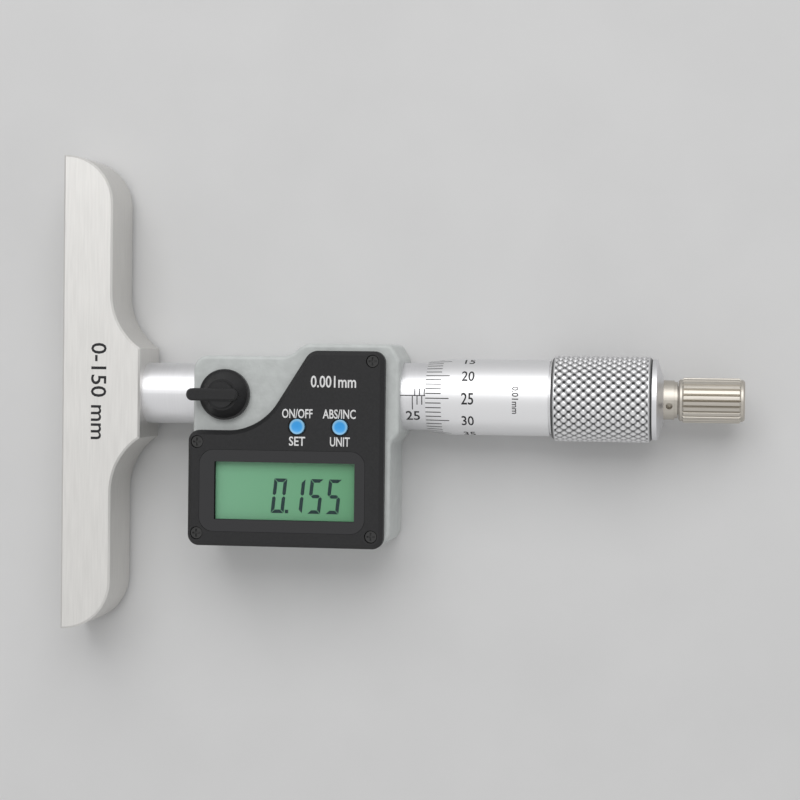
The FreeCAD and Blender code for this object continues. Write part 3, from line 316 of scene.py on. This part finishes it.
def window_material():
    """Clear over the display's view and black behind its printed border."""
    material = new_material("window", (0.02, 0.02, 0.022), roughness=0.05)
    low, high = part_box("lcd_panel")
    middle = [(low[axis] + high[axis]) / 2 for axis in (0, 1)]
    half = [(high[axis] - low[axis]) / 2 - WINDOW_BORDER * MM for axis in (0, 1)]
    scale = (1 / half[0], 1 / half[1], 1)
    offset = (-middle[0] / half[0], -middle[1] / half[1], 0)
    split = add_node(material, "ShaderNodeSeparateXYZ")
    link(material, object_place(material, scale, offset), "Vector", split, "Vector")
    outside = []
    for axis in ("X", "Y"):
        size = add_node(material, "ShaderNodeMath")
        size.operation = "ABSOLUTE"
        link(material, split, axis, size, 0)
        over = add_node(material, "ShaderNodeMath")
        over.operation = "GREATER_THAN"
        over.inputs[1].default_value = 1.0
        link(material, size, "Value", over, 0)
        outside.append(over)
    either = add_node(material, "ShaderNodeMath")
    either.operation = "MAXIMUM"
    link(material, outside[0], "Value", either, 0)
    link(material, outside[1], "Value", either, 1)
    range_to(material, either, "Value", shader_of(material), "Alpha", 0.05, 1.0)
    return material


MATERIALS = {
    "base_steel": brushed("base_steel", (0.70, 0.69, 0.67), (2500, 120, 2500)),
    "satin_chrome": brushed("satin_chrome", (0.74, 0.74, 0.755), (9000, 60, 60), spread=0.02),
    "knurled_chrome": knurled("knurled_chrome", (0.80, 0.80, 0.81)),
    "dark_steel": brushed("dark_steel", (0.40, 0.40, 0.41), (200, 3000, 3000)),
    "ratchet_nickel": brushed("ratchet_nickel", (0.52, 0.49, 0.44), (300, 3000, 3000)),
    "housing_paint": hammered("housing_paint", (0.56, 0.585, 0.575)),
    "panel_plastic": plastic("panel_plastic", (0.018, 0.018, 0.019)),
    "lcd": display_material(),
    "black_plastic": plastic("black_plastic", (0.018, 0.018, 0.019), (0.3, 0.42)),
    "black_screws": brushed("black_screws", (0.05, 0.05, 0.05), (2000, 2000, 2000), (0.25, 0.35), metallic=0.6),
    "seal_rubber": plastic("seal_rubber", (0.03, 0.03, 0.03), (0.6, 0.75)),
    "brass": brushed("brass", (0.60, 0.42, 0.16), (400, 3000, 3000)),
    "board": plastic("board", (0.02, 0.15, 0.05), (0.35, 0.45)),
    "cell_steel": brushed("cell_steel", (0.62, 0.62, 0.62), (1500, 1500, 1500)),
    "contact_steel": brushed("contact_steel", (0.70, 0.66, 0.52), (1500, 1500, 1500)),
    "window": window_material(),
}
KEYS = ("on_off_key", "unit_key")


def dress_nodes():
    for part in frame["record"]["subparts"]:
        node = part["node"]
        shown = frame["nodes"][node]
        shown.data.materials.clear()
        if node in KEYS:
            shown.data.materials.append(key_material(node))
        else:
            shown.data.materials.append(MATERIALS[part["material_slot"]])


# ---- meshes: helpers -----------------------------------------------------------------------
def new_piece(name, vertices, faces, material, body):
    mesh = bpy.data.meshes.new(name)
    mesh.from_pydata(vertices, [], faces)
    mesh.materials.append(material)
    shown = bpy.data.objects.new(name, mesh)
    bpy.context.scene.collection.objects.link(shown)
    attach(shown, body)
    return shown


def edge_of(node, side, axis=0):
    """Lowest (side 0) or highest (side 1) place of a CAD node along an axis, in millimetres."""
    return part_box(node)[side][axis] / MM


class Ink:
    """Lines and letters gathered flat, then laid on a plane or round the spindle's axis."""

    def __init__(self):
        self.points = []
        self.faces = []

    def polygon(self, corners):
        first = len(self.points)
        self.points += corners
        self.faces.append(list(range(first, first + len(corners))))

    def bar(self, left, right, low, high, steps=1):
        """Rectangle cut into steps across its height, so that it can follow a curve."""
        for step in range(steps):
            near = low + (high - low) * step / steps
            far = low + (high - low) * (step + 1) / steps
            self.polygon([(left, near), (right, near), (right, far), (left, far)])

    def words(self, text, x, y, height, turn=0.0, width=None, weight=0.0, narrow=1.0, slices=None):
        """Text centred at (x, y), scaled to a height and, if given, to a width."""
        curve = bpy.data.curves.new("words", "FONT")
        curve.body = text
        curve.align_x = "CENTER"
        curve.align_y = "CENTER"
        curve.offset = weight
        curve.resolution_u = 3
        holder = bpy.data.objects.new("words", curve)
        mesh = bpy.data.meshes.new_from_object(holder)
        low = Vector([min(v.co[i] for v in mesh.vertices) for i in (0, 1, 2)])
        high = Vector([max(v.co[i] for v in mesh.vertices) for i in (0, 1, 2)])
        stretch_y = height / (high.y - low.y)
        stretch_x = width / (high.x - low.x) if width else stretch_y * narrow
        middle = (low + high) / 2
        work = bmesh.new()
        work.from_mesh(mesh)
        for vertex in work.verts:
            vertex.co.x = (vertex.co.x - middle.x) * stretch_x
            vertex.co.y = (vertex.co.y - middle.y) * stretch_y
        work.transform(Matrix.Rotation(math.radians(turn), 4, "Z"))
        if slices:
            reach = max(abs(vertex.co.y) for vertex in work.verts)
            for step in range(1, slices):
                place = -reach + 2 * reach * step / slices
                geometry = work.verts[:] + work.edges[:] + work.faces[:]
                bmesh.ops.bisect_plane(work, geom=geometry, plane_co=(0, place, 0), plane_no=(0, 1, 0))
        first = len(self.points)
        work.verts.index_update()
        self.points += [(vertex.co.x + x, vertex.co.y + y) for vertex in work.verts]
        for face in work.faces:
            self.faces.append([first + vertex.index for vertex in face.verts])
        work.free()
        bpy.data.objects.remove(holder)
        bpy.data.curves.remove(curve)
        bpy.data.meshes.remove(mesh)

    def on_plane(self, name, height, material, body):
        spots = [(x * MM, y * MM, height * MM) for x, y in self.points]
        return new_piece(name, spots, self.faces, material, body)

    def round_axis(self, name, radius, material, body):
        """Lays the flat drawing on a cylinder; y is the arc length from the top towards +Y.
        The radius is a number or a function of x."""
        spots = []
        for x, y in self.points:
            here = radius(x) if callable(radius) else radius
            angle = y / here
            spots.append((x * MM, here * math.sin(angle) * MM, here * math.cos(angle) * MM))
        return new_piece(name, spots, self.faces, material, body)


# ---- thimble ---------------------------------------------------------------------------------
def thimble_front():
    return edge_of("thimble", 0)


def drum_radius(x):
    """Radius of the drum's plain part at x."""
    share = min((x - thimble_front()) / LIP_TAPER, 1.0)
    return LIP_RADIUS + (DRUM_RADIUS - LIP_RADIUS) * share


def knurled_thimble():
    """Drum and grip as one turned skin whose grip stations carry pyramids of a diamond knurl."""
    front = thimble_front()
    back = edge_of("thimble", 1)
    grip_radius = edge_of("thimble", 1, axis=1)
    grip = front + GRIP_START
    knurl_start = grip + KNURL_MARGIN
    knurl_end = back - KNURL_MARGIN
    rows = round((knurl_end - knurl_start) / KNURL_PITCH * KNURL_CELLS)
    plain = [
        (back - RECESS_DEPTH, THIMBLE_BORE, 0),
        (front, THIMBLE_BORE, 0),
        (front, LIP_RADIUS, 0),
        (front + LIP_TAPER, DRUM_RADIUS, 0),
        (front + GROOVE_START, DRUM_RADIUS, 0),
        (front + GROOVE_START, GROOVE_FLOOR, 0),
        (grip, GROOVE_FLOOR, 0),
        (grip, grip_radius - GRIP_EDGE, 0),
        (grip + GRIP_EDGE, grip_radius, 0),
        (knurl_start, grip_radius, 0),
    ]
    step = (knurl_end - knurl_start) / rows
    knurl = [(knurl_start + step * row, grip_radius, 1) for row in range(1, rows)]
    tail = [
        (knurl_end, grip_radius, 0),
        (back - GRIP_EDGE, grip_radius, 0),
        (back, grip_radius - GRIP_EDGE, 0),
        (back, RECESS_RADIUS, 0),
        (back - RECESS_DEPTH, RECESS_RADIUS, 0),
    ]
    stations = np.array(plain + knurl + tail)
    around = KNURL_COUNT * KNURL_CELLS
    angle = 2 * math.pi * np.arange(around) / around
    along = stations[:, :1]
    turn = angle[None, :] * KNURL_COUNT / (2 * math.pi)
    advance = (along - knurl_start) / KNURL_PITCH
    cut = groove(turn + advance) + groove(turn - advance)
    radius = stations[:, 1:2] - stations[:, 2:] * KNURL_DEPTH * cut
    spots = np.stack([
        np.broadcast_to(along, radius.shape),
        radius * np.sin(angle),
        radius * np.cos(angle),
    ], axis=-1).reshape(-1, 3) * MM
    count = len(stations)
    faces = []
    for row in range(count):
        following = (row + 1) % count
        for column in range(around):
            beside = (column + 1) % around
            faces.append((
                row * around + column,
                following * around + column,
                following * around + beside,
                row * around + beside,
            ))
    finish = MATERIALS["knurled_chrome"]
    piece = new_piece("knurled_thimble", spots.tolist(), faces, finish, "spindle_and_thimble")
    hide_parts("thimble")
    smooth_by_angle(piece, 25)
    return piece


def groove(value):
    """Depth of a V groove on each whole number, 1 at its root and 0 on the land between."""
    away = 1 - np.abs(2 * (value - np.floor(value)) - 1)
    return np.maximum(1 - KNURL_LAND * away, 0)


def smooth_by_angle(shown, degrees):
    mesh = shown.data
    mesh.shade_smooth()
    mesh.set_sharp_from_angle(angle=math.radians(degrees))


# ---- scales ----------------------------------------------------------------------------------
def sleeve_scale(ink_material):
    """Index line with millimetre lines on one side, half millimetres on the other, and numbers."""
    ink = Ink()
    nose = edge_of("housing", 1)
    end = edge_of("sleeve", 1)
    ink.bar(nose, end, INDEX_OFFSET - LINE_WIDTH / 2, INDEX_OFFSET + LINE_WIDTH / 2)
    full = nose + SCALE_MARGIN
    half_line = LINE_WIDTH / 2
    for value in range(SCALE_LENGTH + 1):
        x = full + SCALE_LENGTH - value
        length = SLEEVE_LONG_LINE if value % LONG_LINE_EVERY == 0 else SLEEVE_LINE
        ink.bar(x - half_line, x + half_line, INDEX_OFFSET - length, INDEX_OFFSET, 4)
        if value < SCALE_LENGTH:
            x -= 0.5
            ink.bar(x - half_line, x + half_line, INDEX_OFFSET, INDEX_OFFSET + HALF_LINE, 3)
        if value % LONG_LINE_EVERY == 0:
            middle = (full + SCALE_LENGTH - value, INDEX_OFFSET - SLEEVE_NUMBER_PLACE)
            ink.words(str(value), *middle, SLEEVE_NUMBER_HEIGHT, weight=INK_WEIGHT, slices=5)
    ink.round_axis("sleeve_scale", SLEEVE_RADIUS + INK_LIFT, ink_material, "body")


def thimble_scale(ink_material):
    ink = Ink()
    front = thimble_front()
    pitch = 2 * math.pi * DRUM_RADIUS / DIVISIONS
    half_line = LINE_WIDTH / 2
    for division in range(DIVISIONS):
        y = INDEX_OFFSET - (division - READING_DIVISION) * pitch
        length = THIMBLE_LONG_LINE if division % LONG_LINE_EVERY == 0 else THIMBLE_LINE
        for start, end in ((0, min(length, LIP_TAPER) / 2), (min(length, LIP_TAPER) / 2, length)):
            ink.bar(front + start, front + end, y - half_line, y + half_line)
        if division % LONG_LINE_EVERY == 0:
            middle = (front + THIMBLE_NUMBER_PLACE, y)
            narrow = THIMBLE_NUMBER_NARROW
            ink.words(
                str(division), *middle, THIMBLE_NUMBER_HEIGHT, weight=INK_WEIGHT, narrow=narrow, slices=6,
            )
    length, height = UNIT_TEXT_SIZE
    middle = (front + UNIT_TEXT_PLACE, UNIT_TEXT_TURN)
    ink.words("0.01mm", *middle, height, turn=-90, width=length, weight=INK_WEIGHT, slices=10)
    ink.round_axis("thimble_scale", lambda x: drum_radius(x) + INK_LIFT, ink_material, "spindle_and_thimble")


def base_range(ink_material):
    ink = Ink()
    length, height = BASE_TEXT_SIZE
    ink.words("0-150 mm", *BASE_TEXT_PLACE, height, turn=-90, width=length, weight=INK_WEIGHT)
    ink.on_plane("base_range", edge_of("base", 1, axis=2) + INK_LIFT, ink_material, "body")


# ---- panel labels ------------------------------------------------------------------------------
def panel_labels(material):
    ink = Ink()
    left_key = key_centre("on_off_key")
    right_key = key_centre("unit_key")
    above = WORD_ABOVE_KEY
    below = WORD_BELOW_KEY
    rows = (
        ("ON/OFF", left_key.x, left_key.y + above, 6.5),
        ("ABS/INC", right_key.x - 0.2, right_key.y + above, 7.0),
        ("SET", left_key.x, left_key.y + below, 3.45),
        ("UNIT", right_key.x, right_key.y + below, 4.2),
    )
    for text, x, y, length in rows:
        ink.words(text, x, y, WORD_HEIGHT, width=length, weight=WORD_WEIGHT)
    across, up = PANEL_TEXT_OFFSET
    length, height = PANEL_TEXT_SIZE
    ink.words("0.001mm", right_key.x + across, right_key.y + up, height, width=length, weight=WORD_WEIGHT)
    ink.on_plane("panel_labels", edge_of("front_panel", 1, axis=2) + INK_LIFT, material, "body")


def key_centre(node):
    low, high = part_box(node)
    return Vector([(low[axis] + high[axis]) / 2 / MM for axis in (0, 1)])


# ---- display digits ------------------------------------------------------------------------------
def segment(name):
    """Corners of one of the seven strokes of a digit, from its lower left corner."""
    w, h, t, g = DIGIT_WIDTH, DIGIT_HEIGHT, DIGIT_STROKE, SEGMENT_GAP
    middle = h / 2
    flat = {
        "a": [(g, h), (w - g, h), (w - t - g, h - t), (t + g, h - t)],
        "d": [(g, 0), (t + g, t), (w - t - g, t), (w - g, 0)],
        "g": [
            (t / 2 + g, middle), (t + g, middle + t / 2), (w - t - g, middle + t / 2),
            (w - t / 2 - g, middle), (w - t - g, middle - t / 2), (t + g, middle - t / 2),
        ],
        "f": [(0, h - g), (t, h - t - g), (t, middle + t / 2 + g), (t / 2, middle + g), (0, middle + t / 2)],
        "e": [(0, g), (0, middle - t / 2), (t / 2, middle - g), (t, middle - t / 2 - g), (t, t + g)],
    }
    mirrored = {"b": "f", "c": "e"}
    if name in mirrored:
        return [(w - x, y) for x, y in flat[mirrored[name]]]
    return flat[name]


def display_digits(material):
    ink = Ink()
    low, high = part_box("lcd_panel")
    right = high[0] / MM - WINDOW_BORDER - DIGIT_INSET[0]
    foot = low[1] / MM + WINDOW_BORDER + DIGIT_INSET[1]
    lean = math.tan(math.radians(DIGIT_SLANT))
    last = len(DISPLAY_TEXT) - 1
    for index, digit in enumerate(DISPLAY_TEXT):
        left = right - DIGIT_WIDTH - DIGIT_PITCH * (last - index) - lean * DIGIT_HEIGHT
        for name in SEGMENTS[digit]:
            ink.polygon([(left + x + lean * y, foot + y) for x, y in segment(name)])
        if index == 0:
            dot = left + DIGIT_WIDTH + DOT_GAP
            ink.bar(dot, dot + DIGIT_STROKE, foot, foot + DIGIT_STROKE)
    ink.on_plane("display_digits", high[2] / MM + INK_LIFT, material, "body")


# ---- floor, lamps and camera -----------------------------------------------------------------
def floor():
    low = cad_bounds[0]
    reach = FLOOR_REACH
    mesh = bpy.data.meshes.new("floor")
    corners = [(-reach, -reach), (reach, -reach), (reach, reach), (-reach, reach)]
    mesh.from_pydata([(x, y, low[2]) for x, y in corners], [], [(0, 1, 2, 3)])
    plane = bpy.data.objects.new("floor", mesh)
    bpy.context.scene.collection.objects.link(plane)
    paint = new_material("floor_paint", FLOOR_COLOR, roughness=0.85)
    speckle = noise_on(paint, object_place(paint), 40.0)
    ramp_to(paint, speckle, "Fac", shader_of(paint), "Base Color", shades(FLOOR_COLOR, 0.015))
    mesh.materials.append(paint)


def lamp(name, place, target, size, power):
    data = bpy.data.lights.new(name, "AREA")
    data.shape = "RECTANGLE"
    data.size, data.size_y = size
    data.energy = power
    shown = bpy.data.objects.new(name, data)
    shown.location = place
    shown.rotation_euler = (Vector(target) - Vector(place)).to_track_quat("-Z", "Y").to_euler()
    bpy.context.scene.collection.objects.link(shown)


def world_light(plain, shown):
    """White room: plain strength on surfaces, and the shown strength where it is seen or mirrored."""
    world = bpy.data.worlds.new("studio")
    world.use_nodes = True
    tree = world.node_tree
    back = tree.nodes["Background"]
    back.inputs["Color"].default_value = (1.0, 1.0, 1.0, 1.0)
    path = tree.nodes.new("ShaderNodeLightPath")
    rays = tree.nodes.new("ShaderNodeMath")
    rays.operation = "MAXIMUM"
    tree.links.new(path.outputs["Is Camera Ray"], rays.inputs[0])
    tree.links.new(path.outputs["Is Glossy Ray"], rays.inputs[1])
    both = tree.nodes.new("ShaderNodeMath")
    both.operation = "MAXIMUM"
    tree.links.new(rays.outputs["Value"], both.inputs[0])
    tree.links.new(path.outputs["Is Transmission Ray"], both.inputs[1])
    strength = tree.nodes.new("ShaderNodeMapRange")
    strength.inputs["To Min"].default_value = plain
    strength.inputs["To Max"].default_value = shown
    tree.links.new(both.outputs["Value"], strength.inputs["Value"])
    tree.links.new(strength.outputs["Result"], back.inputs["Strength"])
    bpy.context.scene.world = world


def camera():
    """High over the ratchet's end, turned towards the part's middle."""
    data = bpy.data.cameras.new("camera")
    data.sensor_width = 36.0
    data.lens = CAMERA_LENS
    place = Vector(CAMERA_PLACE) * MM
    middle = (Vector(cad_bounds[0]) + Vector(cad_bounds[1])) / 2
    aim = middle - place
    lean = math.atan2(-aim.x, -aim.z)
    nod = math.atan2(aim.y, math.hypot(aim.x, aim.z))
    shown = bpy.data.objects.new("camera", data)
    shown.location = place
    shown.rotation_euler = (nod, lean, math.radians(CAMERA_ROLL))
    bpy.context.scene.collection.objects.link(shown)
    bpy.context.scene.camera = shown


bpy.context.scene.view_settings.view_transform = "Standard"
dress_nodes()
engraving = plastic("engraving_black", (0.02, 0.02, 0.022), (0.5, 0.6))
white_print = plastic("print_white", (0.80, 0.80, 0.80), (0.45, 0.55))
segment_black = plastic("segment_black", (0.02, 0.05, 0.05), (0.3, 0.4))
knurled_thimble()
sleeve_scale(engraving)
thimble_scale(engraving)
base_range(engraving)
panel_labels(white_print)
display_digits(segment_black)
camera()
floor()
world_light(0.5, 0.8)
lamp("key", (0.07, 0.75, 0.95), (0.07, 0, 0), (1.2, 1.0), 7.5)
